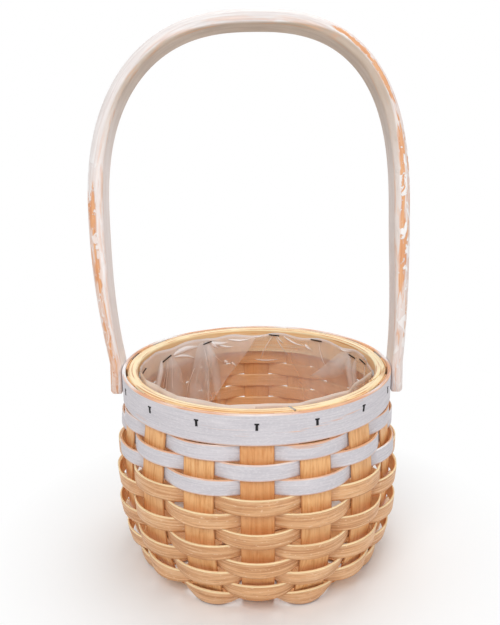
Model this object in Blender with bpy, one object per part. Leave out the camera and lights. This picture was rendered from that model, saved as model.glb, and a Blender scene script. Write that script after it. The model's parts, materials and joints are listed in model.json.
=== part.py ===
"""Round splint basket with a bentwood swing handle, modelled in metres with +Z up.

The origin is the middle of the base, on the surface that the basket stands on.
Eight flat strips cross under the base and turn up as sixteen staves, eleven
weavers pass over and under the staves, and two hoops clamp the stave ends.
Azimuths are measured from the front, which faces -Y, towards +X.
"""

import math
from itertools import product

import bmesh
import bpy
import numpy as np
from mathutils import Vector

# Rim, from the outside in: band, stave ends, inner hoop
RIM_HEIGHT = 0.163
BAND_RADIUS = 0.110
BAND_THICKNESS = 0.0028
BAND_HEIGHT = 0.0234
BAND_EDGE = 0.0006
HOOP_THICKNESS = 0.0078
HOOP_HEIGHT = 0.0226
HOOP_EDGE = 0.0018
HOOP_LAP_LENGTH = 0.036
BAND_LAP_LENGTH = 0.045
LAP_TIP = 0.0007
TIP_EDGE_SHARE = 0.3
HOOP_LAP_AZIMUTH = math.radians(62.0)
BAND_LAP_AZIMUTH = math.radians(190.0)

# Clearances
SEAT_GAP = 0.0003
WEAVE_GAP = 0.0006
ROW_GAP = 0.0004

# Staves: each strip is one stave, the base crossing and the opposite stave
STRIP_COUNT = 8
STAVE_WIDTH = 0.0242
STAVE_THICKNESS = 0.0012
STAVE_TOP_DROP = 0.0006
STRIP_STEP = 0.0115
BASE_STEP = 0.0065

# Wall of the basket, at the middle of the staves, down from the band
NECK_RADIUS = 0.1080
NECK_DEPTH = 0.037
BELLY_RADIUS = 0.1112
BELLY_DEPTH = 0.083
LOWER_RADIUS = 0.1046
LOWER_DEPTH = 0.1345
HEEL_RADIUS = 0.0930
HEEL_DEPTH = 0.1580
FLAT_RADIUS = 0.0830

# Crossing of the strips under the base
STACK_RADIUS = 0.034
STACK_RAMP_END = 0.060
PAIR_RADIUS = 0.064
PAIR_RAMP_END = 0.080

# Weavers
ROW_COUNT = 11
WHITE_ROWS = 3
ROW_PITCH = 0.01250
ROW_START = 0.0010
WEAVER_THICKNESS = 0.0016
BOW_TOP = 0.0018
BOW_MIDDLE = 0.0066
BOW_BOTTOM = 0.0040
ARC_STEPS = 4

# Swing handle
HANDLE_HALF_SPAN = 0.1297
HANDLE_REACH = 0.2913
HANDLE_WAIST = 0.130
HANDLE_ARCH_POWER = 2.5
HANDLE_WIDTH = 0.028
HANDLE_FOOT_THICKNESS = 0.0108
HANDLE_LEG_THICKNESS = 0.0143
HANDLE_CROWN_THICKNESS = 0.0134
HANDLE_CORNER = 0.0022
HANDLE_BOW = 0.0050
HANDLE_FOOT_DROP = 0.0117
HANDLE_SEAT_RISE = 0.0120
HANDLE_FOOT_CHAMFER = 0.0012
HANDLE_LEAN = math.radians(7.5)

# Pivot screws, driven from inside the basket into the handle's feet
PIVOT_DROP = 0.0115
SCREW_RADIUS = 0.0020
SCREW_HEAD_RADIUS = 0.0042
SCREW_HEAD_HEIGHT = 0.0016
SCREW_BITE = 0.0060
SLOT_WIDTH = 0.0009
SLOT_DEPTH = 0.0008
# Outline of the head's dome, in head radii and head heights from its seat
SCREW_HEAD_SHARES = ((1.0, 0.0), (0.86, 0.6), (0.45, 1.0))
SCREW_TIP_SHARE = 0.5

# Liner film
LINER_THICKNESS = 0.0004
LINER_TOP_DROP = 0.0035
LINER_WALL_GAP = 0.0012
LINER_FLOOR_GAP = 0.0008

# Facets
RING_SEGMENTS = 72
LAP_SEGMENTS = 5
LINER_SEGMENTS = 32
SCREW_SEGMENTS = 16
WALL_SAMPLES = 24
HEEL_STEPS = 3
LEG_SEGMENTS = 9
ARCH_SEGMENTS = 17
CROWN_POINTS = 7
CUT_OVERRUN = 0.001

# Derived sizes
STAVE_COUNT = 2 * STRIP_COUNT
STAVE_ANGLE = 2.0 * math.pi / STAVE_COUNT
RIM_STAVE_RADIUS = BAND_RADIUS - BAND_THICKNESS - SEAT_GAP - STAVE_THICKNESS / 2.0
HOOP_OUTER_RADIUS = RIM_STAVE_RADIUS - STAVE_THICKNESS / 2.0 - SEAT_GAP
HOOP_INNER_RADIUS = HOOP_OUTER_RADIUS - HOOP_THICKNESS
LAYER_STEP = STAVE_THICKNESS + SEAT_GAP
STACK_HEIGHT = STRIP_COUNT * LAYER_STEP - SEAT_GAP
WEAVER_HEIGHT = ROW_PITCH - ROW_GAP
PIVOT_HEIGHT = RIM_HEIGHT - PIVOT_DROP
FOOT_FACE = BAND_RADIUS + SEAT_GAP


def clear_scene():
    """Remove every object that the scene holds."""
    for item in list(bpy.data.objects):
        bpy.data.objects.remove(item, do_unlink=True)


def make_material(name, colour, roughness, metallic=0.0, alpha=1.0):
    """One Principled material."""
    material = bpy.data.materials.new(name)
    material.use_nodes = True
    shader = material.node_tree.nodes["Principled BSDF"]
    shader.inputs["Base Color"].default_value = (*colour, 1.0)
    shader.inputs["Roughness"].default_value = roughness
    shader.inputs["Metallic"].default_value = metallic
    shader.inputs["Alpha"].default_value = alpha
    return material


def make_object(name, verts, faces, material, smooth_angle=math.radians(40.0)):
    """One named object from points and faces, with its normals turned out."""
    mesh = bpy.data.meshes.new(name)
    mesh.from_pydata([tuple(v) for v in verts], [], faces)
    shape = bmesh.new()
    shape.from_mesh(mesh)
    bmesh.ops.recalc_face_normals(shape, faces=shape.faces[:])
    shape.to_mesh(mesh)
    shape.free()
    mesh.materials.append(material)
    mesh.shade_smooth()
    mesh.set_sharp_from_angle(angle=smooth_angle)
    item = bpy.data.objects.new(name, mesh)
    bpy.context.scene.collection.objects.link(item)
    return item


def loft(sections, closed):
    """Skin equal sections into a closed ring, or into a bar with capped ends."""
    size = len(sections[0])
    verts = [point for section in sections for point in section]
    faces = []
    spans = len(sections) if closed else len(sections) - 1
    for i in range(spans):
        a = i * size
        b = ((i + 1) % len(sections)) * size
        for j in range(size):
            k = (j + 1) % size
            faces.append((a + j, a + k, b + k, b + j))
    if not closed:
        faces.append(tuple(range(size - 1, -1, -1)))
        last = (len(sections) - 1) * size
        faces.append(tuple(last + j for j in range(size)))
    return verts, faces


def revolve(profile, segments):
    """Turn a profile whose first and last points lie on the Z axis."""
    verts = [(0.0, 0.0, profile[0][1])]
    for radius, height in profile[1:-1]:
        for i in range(segments):
            angle = 2.0 * math.pi * i / segments
            verts.append((radius * math.cos(angle), radius * math.sin(angle), height))
    verts.append((0.0, 0.0, profile[-1][1]))
    rings = len(profile) - 2
    faces = []
    for i in range(segments):
        n = (i + 1) % segments
        faces.append((0, 1 + n, 1 + i))
        for ring in range(rings - 1):
            a = 1 + ring * segments
            b = a + segments
            faces.append((a + i, a + n, b + n, b + i))
        a = 1 + (rings - 1) * segments
        faces.append((a + i, a + n, len(verts) - 1))
    return verts, faces


def at_azimuth(azimuth, radius, height):
    """Point at an azimuth from the front, -Y, towards +X."""
    return Vector((radius * math.sin(azimuth), -radius * math.cos(azimuth), height))


def ease(value, low, high):
    """Smooth step from 0 at low to 1 at high."""
    t = min(max((value - low) / (high - low), 0.0), 1.0)
    return t * t * (3.0 - 2.0 * t)


def wall_curve():
    """Radius and height along the middle of a stave, from the band down to the flat base."""
    level = STAVE_THICKNESS / 2.0
    knots = [
        np.array((RIM_STAVE_RADIUS, RIM_HEIGHT - BAND_HEIGHT)),
        np.array((NECK_RADIUS, RIM_HEIGHT - NECK_DEPTH)),
        np.array((BELLY_RADIUS, RIM_HEIGHT - BELLY_DEPTH)),
        np.array((LOWER_RADIUS, RIM_HEIGHT - LOWER_DEPTH)),
        np.array((HEEL_RADIUS, RIM_HEIGHT - HEEL_DEPTH)),
        np.array((FLAT_RADIUS, level)),
    ]
    last = len(knots) - 1
    spans = [np.linalg.norm(knots[i + 1] - knots[i]) for i in range(last)]
    slopes = [np.array((0.0, -1.0))]
    for i in range(1, last):
        before = (knots[i] - knots[i - 1]) / spans[i - 1]
        after = (knots[i + 1] - knots[i]) / spans[i]
        slope = (before * spans[i] + after * spans[i - 1]) / (spans[i] + spans[i - 1])
        slopes.append(slope / np.linalg.norm(slope))
    slopes.append(np.array((-1.0, 0.0)))
    points = []
    for i in range(last):
        for step in range(WALL_SAMPLES):
            t = step / WALL_SAMPLES
            points.append(
                (2 * t**3 - 3 * t**2 + 1) * knots[i]
                + (t**3 - 2 * t**2 + t) * spans[i] * slopes[i]
                + (3 * t**2 - 2 * t**3) * knots[i + 1]
                + (t**3 - t**2) * spans[i] * slopes[i + 1]
            )
    points.append(knots[-1])
    return np.array(points)


WALL = wall_curve()
WALL_LENGTHS = np.concatenate(
    ([0.0], np.cumsum(np.linalg.norm(np.diff(WALL, axis=0), axis=1)))
)


def wall_point(length):
    """Radius and height at a length along the wall below the band."""
    radius = np.interp(length, WALL_LENGTHS, WALL[:, 0])
    height = np.interp(length, WALL_LENGTHS, WALL[:, 1])
    return float(radius), float(height)


def wall_normal(length):
    """Outward unit normal of the wall in its radius and height plane."""
    step = STAVE_THICKNESS
    low = wall_point(length - step)
    high = wall_point(length + step)
    along = Vector((high[0] - low[0], high[1] - low[1])).normalized()
    return Vector((-along.y, along.x))


def base_lift(strip, distance):
    """Rise of a strip over its neighbours, at a distance from the base's centre.

    The even strips lie flat and the odd ones lie on them, one layer up. In the
    middle, where all of them cross, each strip has a layer of its own.
    """
    pair_share = 1.0 - ease(distance, PAIR_RADIUS, PAIR_RAMP_END)
    stack_share = 1.0 - ease(distance, STACK_RADIUS, STACK_RAMP_END)
    half = STRIP_COUNT // 2
    if strip % 2 == 0:
        return (strip // 2) * LAYER_STEP * stack_share
    above = half - 1 + strip // 2
    return LAYER_STEP * (pair_share + above * stack_share)


def strip_stations():
    """Stations of half a strip, from the base's centre out and up to the rim."""
    stations = []
    base_steps = math.ceil(FLAT_RADIUS / BASE_STEP)
    for i in range(base_steps):
        stations.append((FLAT_RADIUS * i / base_steps, 0.0, True))
    total = float(WALL_LENGTHS[-1])
    steps = math.ceil(total / STRIP_STEP)
    for i in range(steps * HEEL_STEPS, -1, -1):
        length = total * i / (steps * HEEL_STEPS)
        near_heel = length > total - 2.0 * STRIP_STEP
        if near_heel or i % HEEL_STEPS == 0:
            stations.append((*wall_point(length), False))
    stations.append((RIM_STAVE_RADIUS, RIM_HEIGHT - STAVE_TOP_DROP, False))
    return stations


def make_strip(strip, material):
    """One strip: up one side as a stave, across the base and up the other side."""
    azimuth = strip * STAVE_ANGLE
    along = at_azimuth(azimuth, 1.0, 0.0)
    across = Vector((-along.y, along.x, 0.0))
    half = strip_stations()
    mirrored = [(-reach, height, flat) for reach, height, flat in reversed(half[1:])]
    path = mirrored + half
    offsets = (-STAVE_WIDTH / 2.0, 0.0, STAVE_WIDTH / 2.0)
    level = STAVE_THICKNESS / 2.0
    middle = []
    for reach, height, flat in path:
        curl = 0.0 if flat else ease(height, level, RIM_HEIGHT - HEEL_DEPTH)
        row = []
        for offset in offsets:
            inset = curl * offset**2 / (2.0 * reach) if reach else 0.0
            spot = along * (reach - inset) + across * offset
            lift = base_lift(strip, spot.length) if flat else 0.0
            spot.z = (level + lift) if flat else height
            row.append(spot)
        middle.append(row)
    sections = []
    for i, row in enumerate(middle):
        before = middle[max(i - 1, 0)][1]
        after = middle[min(i + 1, len(middle) - 1)][1]
        normal = across.cross(after - before).normalized()
        half_ply = normal * (STAVE_THICKNESS / 2.0)
        upper = [spot + half_ply for spot in row]
        lower = [spot - half_ply for spot in reversed(row)]
        sections.append(upper + lower)
    verts, faces = loft(sections, closed=False)
    return make_object(f"stave_strip_{strip + 1}", verts, faces, material)


def row_bow(row):
    """How far a weaver stands off the face of the stave that it passes over."""
    middle = (ROW_COUNT - 1) / 2.0
    if row <= middle:
        return BOW_TOP + (BOW_MIDDLE - BOW_TOP) * row / middle
    return BOW_MIDDLE + (BOW_BOTTOM - BOW_MIDDLE) * (row - middle) / middle


def weave_reach(row):
    """Share of a half wave in which a weaver is free of the stave that it passes behind."""
    middle_radius, _ = wall_point(ROW_START + row * ROW_PITCH + WEAVER_HEIGHT / 2.0)
    held_angle = (STAVE_WIDTH / 2.0 + WEAVE_GAP) / middle_radius
    return 1.0 - held_angle / STAVE_ANGLE


def weave_stops(reach):
    """Places of the sections in one wave, from 0 over a stave through 1/2 behind the next."""
    arc = [reach / 2.0 * step / ARC_STEPS for step in range(ARC_STEPS + 1)]
    return arc + [0.5] + [1.0 - stop for stop in reversed(arc[1:])]


def weave_offset(row, stop, reach):
    """Offset of a weaver from the staves' middle.

    The weaver lies flat behind a stave. From the edge of that stave it bows out in
    one arc, over the next stave, to the edge of the one after.
    """
    half_plies = (STAVE_THICKNESS + WEAVER_THICKNESS) / 2.0
    behind = -(half_plies + WEAVE_GAP)
    over = half_plies + row_bow(row)
    from_crest = 2.0 * min(stop, 1.0 - stop)
    spread = min(from_crest / reach, 1.0)
    return over - (over - behind) * spread**2


def make_weaver(row, material):
    """One weaver row, a flat splint that winds in and out of the staves."""
    top = ROW_START + row * ROW_PITCH
    bottom = top + WEAVER_HEIGHT
    over_odd_staves = row % 2 == 0
    shift = STAVE_ANGLE if over_odd_staves else 0.0
    reach = weave_reach(row)
    sections = []
    for wave, stop in product(range(STRIP_COUNT), weave_stops(reach)):
        azimuth = (wave + stop) * 2.0 * STAVE_ANGLE + shift
        offset = weave_offset(row, stop, reach)
        section = []
        for length, sides in ((top, (1, -1)), (bottom, (-1, 1))):
            radius, height = wall_point(length)
            normal = wall_normal(length)
            for side in sides:
                out = offset + side * WEAVER_THICKNESS / 2.0
                section.append(
                    at_azimuth(azimuth, radius + normal.x * out, height + normal.y * out)
                )
        sections.append(section)
    verts, faces = loft(sections, closed=True)
    return make_object(f"weaver_{row + 1}", verts, faces, material)


def lap_sections(inner, outer, lap):
    """Turn, inner radius and outer radius along a hoop whose tapered ends overlap."""
    taper = outer - inner - 2.0 * LAP_TIP - SEAT_GAP
    shares = [i / LAP_SEGMENTS for i in range(LAP_SEGMENTS + 1)]
    full_turn = 2.0 * math.pi
    start = [(lap * share, inner, inner + LAP_TIP + taper * share) for share in shares]
    turns = [full_turn * i / RING_SEGMENTS for i in range(1, RING_SEGMENTS)]
    middle = [(turn, inner, outer) for turn in turns if turn > lap]
    end = [
        (full_turn + lap * share, outer - LAP_TIP - taper * (1.0 - share), outer)
        for share in shares
    ]
    return start + middle + end


def lapped_hoop(name, inner, outer, low, high, edge, lap_length, lap_azimuth, material):
    """A hoop bent from one strip, whose tapered ends overlap in a scarf joint."""
    sections = []
    for turn, r_in, r_out in lap_sections(inner, outer, lap_length / outer):
        e = min(edge, (r_out - r_in) * TIP_EDGE_SHARE)
        profile = [
            (r_in, low + e), (r_in + e, low), (r_out - e, low), (r_out, low + e),
            (r_out, high - e), (r_out - e, high), (r_in + e, high), (r_in, high - e),
        ]
        sections.append([at_azimuth(turn + lap_azimuth, r, z) for r, z in profile])
    verts, faces = loft(sections, closed=False)
    return make_object(name, verts, faces, material)


def handle_outline():
    """Outer edge of one side of the handle: half width and distance above the pivot."""
    points = []
    foot = FOOT_FACE + HANDLE_FOOT_THICKNESS
    points.append((foot, -HANDLE_FOOT_DROP))
    for i in range(LEG_SEGMENTS):
        spread = 1.0 - i / LEG_SEGMENTS
        height = HANDLE_WAIST - (HANDLE_WAIST - HANDLE_SEAT_RISE) * spread
        points.append((HANDLE_HALF_SPAN - (HANDLE_HALF_SPAN - foot) * spread**2, height))
    arch = HANDLE_REACH - HANDLE_WAIST
    power = 2.0 / HANDLE_ARCH_POWER
    for i in range(ARCH_SEGMENTS + 1):
        angle = math.pi / 2.0 * i / ARCH_SEGMENTS
        across = HANDLE_HALF_SPAN * math.cos(angle) ** power if i < ARCH_SEGMENTS else 0.0
        points.append((across, HANDLE_WAIST + arch * math.sin(angle) ** power))
    return points


def handle_section(thickness):
    """D section: flat inner face, rounded outer face; first value across, second inwards."""
    half = HANDLE_WIDTH / 2.0
    corner = HANDLE_CORNER
    flank = thickness / 2.0
    outline = [(-half + corner, thickness), (-half, thickness - corner)]
    for i in range(CROWN_POINTS):
        angle = math.pi * (i + 1) / (CROWN_POINTS + 1)
        outline.append((-half * math.cos(angle), flank * (1.0 - math.sin(angle))))
    outline += [(half, thickness - corner), (half - corner, thickness)]
    return outline


def handle_frames():
    """Point, inward direction and thickness along the whole handle."""
    side = handle_outline()
    left = [Vector((-x, z)) for x, z in side]
    right = [Vector((x, z)) for x, z in reversed(side[:-1])]
    line = left + right
    frames = []
    for i, spot in enumerate(line):
        before = line[max(i - 1, 0)]
        after = line[min(i + 1, len(line) - 1)]
        along = (after - before).normalized()
        if i in (0, len(line) - 1):
            along = Vector((0.0, 1.0 if i == 0 else -1.0))
        inward = Vector((along.y, -along.x))
        share = ease(spot.y, HANDLE_SEAT_RISE, HANDLE_WAIST)
        arch_share = ease(spot.y, HANDLE_WAIST, HANDLE_REACH)
        thickness = (
            HANDLE_FOOT_THICKNESS
            + (HANDLE_LEG_THICKNESS - HANDLE_FOOT_THICKNESS) * share
            + (HANDLE_CROWN_THICKNESS - HANDLE_LEG_THICKNESS) * arch_share
        )
        bow_share = max(spot.y - HANDLE_SEAT_RISE, 0.0) / (HANDLE_REACH - HANDLE_SEAT_RISE)
        bend = math.sin(math.pi * min(bow_share, 1.0))
        moved = Vector((spot.x - HANDLE_BOW * bend, spot.y))
        frames.append((moved, inward, thickness))
    return frames


def chamfered_foot(section):
    """The end of a foot as two sections: the chamfered face and the full size above it."""
    centre = sum(section, Vector()) / len(section)
    rise = Vector((0.0, 0.0, HANDLE_FOOT_CHAMFER))
    face = [point + (centre - point).normalized() * HANDLE_FOOT_CHAMFER for point in section]
    return [face, [point + rise for point in section]]


def make_handle(material, pivot):
    """Bentwood handle, drawn upright about the pivot and leaned back by its empty."""
    sections = []
    for spot, inward, thickness in handle_frames():
        section = []
        for across, depth in handle_section(thickness):
            point = spot + inward * depth
            section.append(Vector((point.x, across, point.y)))
        sections.append(section)
    first_foot = chamfered_foot(sections[0])
    last_foot = chamfered_foot(sections[-1])
    sections = first_foot + sections[1:-1] + last_foot[::-1]
    verts, faces = loft(sections, closed=False)
    handle = make_object("handle", verts, faces, material)
    handle.parent = pivot
    return handle


def screw_profile():
    """Half outline of a pivot screw, from the tip at the top to the head's dome."""
    head_face = HOOP_INNER_RADIUS - SEAT_GAP
    tip = FOOT_FACE + SCREW_BITE
    head = [
        (SCREW_HEAD_RADIUS * across, head_face - SCREW_HEAD_HEIGHT * rise)
        for across, rise in SCREW_HEAD_SHARES
    ]
    return [
        (0.0, tip),
        (SCREW_RADIUS * SCREW_TIP_SHARE, tip),
        (SCREW_RADIUS, tip - SCREW_RADIUS),
        (SCREW_RADIUS, head_face),
        *head,
        (0.0, head_face - SCREW_HEAD_HEIGHT),
    ]


def make_screw(name, side, material, pivot):
    """A round-headed slotted screw along X; side is -1 for left and 1 for right."""
    verts, faces = revolve(screw_profile(), SCREW_SEGMENTS)
    turned = [(side * z, x, y) for x, y, z in verts]
    screw = make_object(name, turned, faces, material)
    dome = side * (HOOP_INNER_RADIUS - SEAT_GAP - SCREW_HEAD_HEIGHT)
    size = (2.0 * SLOT_DEPTH, SLOT_WIDTH, 2.0 * (SCREW_HEAD_RADIUS + CUT_OVERRUN))
    slot = make_block(name + "_slot_cutter", size, (dome, 0.0, 0.0))
    slot.parent = pivot
    cut(screw, slot)
    screw.parent = pivot
    return screw


def make_block(name, size, centre):
    """A rectangular cutter."""
    shape = bmesh.new()
    bmesh.ops.create_cube(shape, size=1.0)
    bmesh.ops.scale(shape, vec=size, verts=shape.verts[:])
    bmesh.ops.translate(shape, vec=centre, verts=shape.verts[:])
    mesh = bpy.data.meshes.new(name)
    shape.to_mesh(mesh)
    shape.free()
    return link_cutter(name, mesh)


def make_drill(name, radius, start, end):
    """A round cutter along X at the height of the pivot."""
    shape = bmesh.new()
    bmesh.ops.create_cone(
        shape, cap_ends=True, segments=SCREW_SEGMENTS,
        radius1=radius, radius2=radius, depth=end - start,
    )
    spin = Vector((0.0, 0.0, 1.0)).rotation_difference(Vector((1.0, 0.0, 0.0)))
    bmesh.ops.rotate(shape, verts=shape.verts[:], matrix=spin.to_matrix())
    bmesh.ops.translate(shape, vec=((start + end) / 2.0, 0.0, 0.0), verts=shape.verts[:])
    mesh = bpy.data.meshes.new(name)
    shape.to_mesh(mesh)
    shape.free()
    return link_cutter(name, mesh)


def link_cutter(name, mesh):
    """Put a cutter in the scene as a guide that isn't part of the model."""
    cutter = bpy.data.objects.new(name, mesh)
    bpy.context.scene.collection.objects.link(cutter)
    cutter.hide_render = True
    cutter.display_type = "WIRE"
    return cutter


def cut(item, cutter):
    """Subtract a cutter from an object."""
    modifier = item.modifiers.new(cutter.name, "BOOLEAN")
    modifier.operation = "DIFFERENCE"
    modifier.solver = "EXACT"
    modifier.object = cutter


def drill_pivots(rim_parts, handle, pivot):
    """Clearance holes through the rim and pilot holes in the handle's feet."""
    clear = SCREW_RADIUS + SEAT_GAP
    foot_end = FOOT_FACE + SCREW_BITE + SEAT_GAP
    for name, side in (("left", -1.0), ("right", 1.0)):
        ends = sorted((side * (HOOP_INNER_RADIUS - CUT_OVERRUN), side * foot_end))
        drill = make_drill(f"pivot_drill_{name}", clear, *ends)
        drill.parent = pivot
        for item in rim_parts:
            cut(item, drill)
        cut(handle, drill)


def make_liner(material):
    """Film liner, an open bag that hangs from the inner hoop and stops above the strips."""
    inside = STAVE_THICKNESS / 2.0 + WEAVE_GAP + WEAVER_THICKNESS + LINER_WALL_GAP
    neck = HOOP_INNER_RADIUS - 2.0 * SEAT_GAP - SCREW_HEAD_HEIGHT
    top = RIM_HEIGHT - LINER_TOP_DROP
    floor = STACK_HEIGHT + LINER_FLOOR_GAP
    outer = [
        (neck, top),
        (neck, RIM_HEIGHT - BAND_HEIGHT),
        (NECK_RADIUS - inside, RIM_HEIGHT - NECK_DEPTH - ROW_PITCH),
        (BELLY_RADIUS - 2.0 * inside, RIM_HEIGHT - BELLY_DEPTH),
        (LOWER_RADIUS - 2.0 * inside, RIM_HEIGHT - LOWER_DEPTH),
        (FLAT_RADIUS, floor),
    ]
    inner = [(r - LINER_THICKNESS, max(z, floor + LINER_THICKNESS)) for r, z in outer]
    profile = [(0.0, floor)] + outer[::-1] + inner + [(0.0, floor + LINER_THICKNESS)]
    verts, faces = revolve(profile, LINER_SEGMENTS)
    return make_object("liner", verts, faces, material)


def build():
    """Make every sub-part of the basket."""
    clear_scene()
    white = make_material("whitewashed_wood", (0.80, 0.79, 0.80), 0.65)
    natural = make_material("natural_splint", (0.72, 0.44, 0.22), 0.55)
    stave_wood = make_material("stave_wood", (0.76, 0.41, 0.16), 0.55)
    hoop_wood = make_material("hoop_wood", (0.90, 0.66, 0.36), 0.5)
    handle_wood = make_material("handle_wood", (0.80, 0.72, 0.68), 0.6)
    film = make_material("clear_film", (0.92, 0.92, 0.93), 0.15, alpha=0.35)
    steel = make_material("zinc_steel", (0.55, 0.55, 0.56), 0.35, metallic=1.0)

    pivot = bpy.data.objects.new("handle_pivot", None)
    bpy.context.scene.collection.objects.link(pivot)
    pivot.location = (0.0, 0.0, PIVOT_HEIGHT)
    pivot.rotation_euler = (-HANDLE_LEAN, 0.0, 0.0)

    strips = [make_strip(i, stave_wood) for i in range(STRIP_COUNT)]
    for row in range(ROW_COUNT):
        make_weaver(row, white if row < WHITE_ROWS else natural)
    band = lapped_hoop(
        "rim_band", BAND_RADIUS - BAND_THICKNESS, BAND_RADIUS,
        RIM_HEIGHT - BAND_HEIGHT, RIM_HEIGHT, BAND_EDGE,
        BAND_LAP_LENGTH, BAND_LAP_AZIMUTH, white,
    )
    hoop = lapped_hoop(
        "inner_hoop", HOOP_INNER_RADIUS, HOOP_OUTER_RADIUS,
        RIM_HEIGHT - HOOP_HEIGHT, RIM_HEIGHT, HOOP_EDGE,
        HOOP_LAP_LENGTH, HOOP_LAP_AZIMUTH, hoop_wood,
    )
    handle = make_handle(handle_wood, pivot)
    for name, side in (("left", -1.0), ("right", 1.0)):
        make_screw(f"pivot_screw_{name}", side, steel, pivot)
    side_strip = strips[STRIP_COUNT // 2]
    drill_pivots([band, hoop, side_strip], handle, pivot)
    make_liner(film)


build()
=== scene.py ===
"""Looks of a round splint basket: wood finishes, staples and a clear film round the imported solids.

Everything is in metres, with +Z up and the front towards -Y. Azimuths are measured from the front
towards +X. Each wooden piece repeats the outline of the solid that it replaces, with rounded
edges, small natural differences and a place in the grain for every point. The weavers lie closer
to the staves at the back, and the front of the lowest ones stands steeper.
"""

import json
import math
import random
from itertools import product

import bmesh
import bpy
import numpy as np
from mathutils import Matrix, Vector


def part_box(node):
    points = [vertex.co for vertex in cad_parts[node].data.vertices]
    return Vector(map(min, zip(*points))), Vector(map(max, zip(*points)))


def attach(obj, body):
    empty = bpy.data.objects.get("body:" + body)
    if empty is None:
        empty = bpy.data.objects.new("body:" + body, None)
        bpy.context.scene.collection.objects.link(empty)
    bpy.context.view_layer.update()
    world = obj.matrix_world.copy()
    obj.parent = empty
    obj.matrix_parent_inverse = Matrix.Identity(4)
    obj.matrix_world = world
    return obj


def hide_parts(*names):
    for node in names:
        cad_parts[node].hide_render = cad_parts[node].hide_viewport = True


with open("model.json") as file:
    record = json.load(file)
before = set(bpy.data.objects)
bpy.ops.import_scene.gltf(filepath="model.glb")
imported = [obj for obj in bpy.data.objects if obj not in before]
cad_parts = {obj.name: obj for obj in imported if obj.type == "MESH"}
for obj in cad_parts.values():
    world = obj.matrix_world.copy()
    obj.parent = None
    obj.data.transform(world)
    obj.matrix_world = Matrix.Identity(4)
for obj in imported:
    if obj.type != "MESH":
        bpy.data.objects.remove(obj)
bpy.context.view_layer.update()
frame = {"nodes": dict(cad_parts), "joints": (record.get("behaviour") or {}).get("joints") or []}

BAND_LOW, BAND_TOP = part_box("rim_band")
HOOP_LOW, HOOP_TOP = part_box("inner_hoop")
PIVOT_HEIGHT = frame["joints"][0]["pos_m"][2]
FULL_TURN = 2.0 * math.pi
SHARP_ANGLE = math.radians(50.0)
FACE_MARGIN = 0.0006

# Rim, from the outside in: band, stave ends, inner hoop
RIM_HEIGHT = BAND_TOP.z
BAND_RADIUS = BAND_TOP.x
BAND_THICKNESS = 0.0028
BAND_HEIGHT = BAND_TOP.z - BAND_LOW.z
BAND_EDGE = 0.0007
HOOP_THICKNESS = 0.0078
HOOP_HEIGHT = HOOP_TOP.z - HOOP_LOW.z
HOOP_EDGE = 0.0016
HOOP_LAP_LENGTH = 0.036
BAND_LAP_LENGTH = 0.045
LAP_TIP = 0.0007
LAP_CORNER_SHARE = 0.4
HOOP_LAP_AZIMUTH = math.radians(62.0)
BAND_LAP_AZIMUTH = math.radians(190.0)
SEAT_GAP = 0.0003

# Staves
STRIP_COUNT = 8
STAVE_WIDTH = 0.0242
STAVE_THICKNESS = 0.0012
STAVE_EDGE = 0.0004
STAVE_TOP_DROP = 0.0006
STAVE_ANGLE = math.pi / STRIP_COUNT
STRIP_GRAIN_STEP = 3.0 * STAVE_WIDTH
RIM_STAVE_RADIUS = BAND_RADIUS - BAND_THICKNESS - SEAT_GAP - STAVE_THICKNESS / 2.0
HOOP_OUTER_RADIUS = RIM_STAVE_RADIUS - STAVE_THICKNESS / 2.0 - SEAT_GAP
HOOP_INNER_RADIUS = HOOP_OUTER_RADIUS - HOOP_THICKNESS
HOOP_LINE_RADII = [HOOP_OUTER_RADIUS - inset for inset in (0.0009, 0.0034, 0.0069)]
LAYER_STEP = STAVE_THICKNESS + SEAT_GAP

# Wall at the middle of the staves: radius and depth below the rim
NECK_RADIUS, NECK_DEPTH = 0.1080, 0.037
BELLY_RADIUS, BELLY_DEPTH = 0.1112, 0.083
LOWER_RADIUS, LOWER_DEPTH = 0.1046, 0.1345
HEEL_RADIUS, HEEL_DEPTH = 0.0930, 0.1580
FLAT_RADIUS = 0.0830
WALL_SAMPLES = 40

# Crossing of the strips under the base
STACK_RADIUS, STACK_RAMP_END = 0.034, 0.060
PAIR_RADIUS, PAIR_RAMP_END = 0.064, 0.080

# Weavers
ROW_COUNT = 11
WHITE_ROWS = 3
ROW_PITCH = 0.01250
ROW_START = 0.0010
ROW_GAP = 0.0001
WEAVER_HEIGHT = ROW_PITCH - ROW_GAP
WEAVER_THICKNESS = 0.0016
WEAVER_EDGE = 0.0006
WEAVE_GAP = 0.0006
BOW_TOP, BOW_MIDDLE, BOW_BOTTOM = 0.0018, 0.0066, 0.0040
BACK_BOW_SHARE = 0.25
BOW_SPREAD = (0.86, 0.94)
WEAVER_FLARE = 0.08
TILT_SPREAD = 0.05
WEAVER_SEED = 40
WAVE_ANGLE = 2.0 * STAVE_ANGLE
ROW_GRAIN_STEP = 2.0 * ROW_PITCH
ARC_STEPS = 12
HELD_STEPS = 3

# Rows after HANG_ROW stand steeper and higher in front, more so down to the last row
HANG_ROW = 5
HANG_POWER = 1.5
LAST_ROW_HANG = 0.40
LAST_ROW_LIFT = 0.0025

# Handle
HANDLE_HALF_SPAN = 0.1297
HANDLE_REACH = 0.2913
HANDLE_WAIST = 0.130
HANDLE_ARCH_POWER = 2.5
HANDLE_WIDTH = 0.028
HANDLE_FOOT_THICKNESS = 0.0108
HANDLE_LEG_THICKNESS = 0.0143
HANDLE_CROWN_THICKNESS = 0.0134
HANDLE_CORNER = 0.0022
HANDLE_BOW = 0.0050
HANDLE_FOOT_DROP = 0.0117
HANDLE_SEAT_RISE = 0.0120
HANDLE_FOOT_CHAMFER = 0.0012
HANDLE_LEAN = math.radians(7.5)
FOOT_FACE = BAND_RADIUS + SEAT_GAP

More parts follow.
